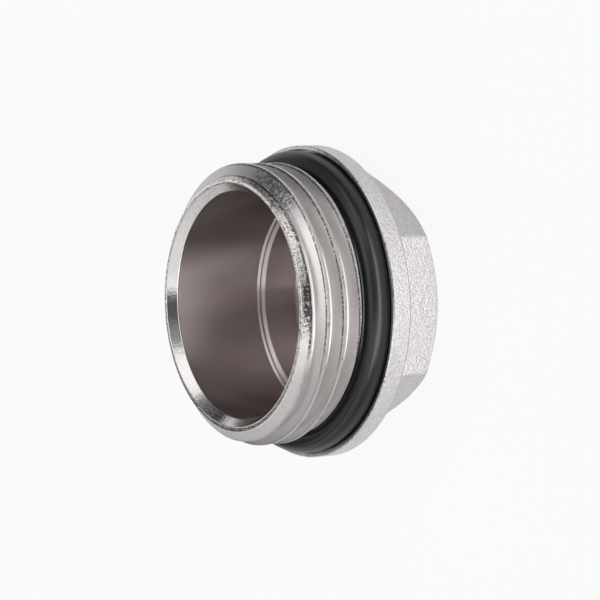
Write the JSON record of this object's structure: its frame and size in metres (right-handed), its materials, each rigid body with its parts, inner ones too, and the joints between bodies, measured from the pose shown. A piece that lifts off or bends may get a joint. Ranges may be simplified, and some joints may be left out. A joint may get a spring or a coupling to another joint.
{
  "type": "manifold blanking plug",
  "caption": "Hollow threaded blanking plug with a round collar, hexagon head and rubber sealing ring.",
  "frame": {"origin": "bottom centre of the hexagon head's end face, on which the plug stands", "axes": "+Z along the thread axis from the closed head to the open mouth; +X at right angles to a flat of the hexagon"},
  "size_m": [0.0372, 0.0372, 0.02],
  "materials": {
    "nickel_plated_brass": "satin",
    "black_rubber": "satin"
  },
  "bodies": {
    "root": {"plug_body": "nickel_plated_brass", "o_ring": "black_rubber"}
  },
  "joints": []
}
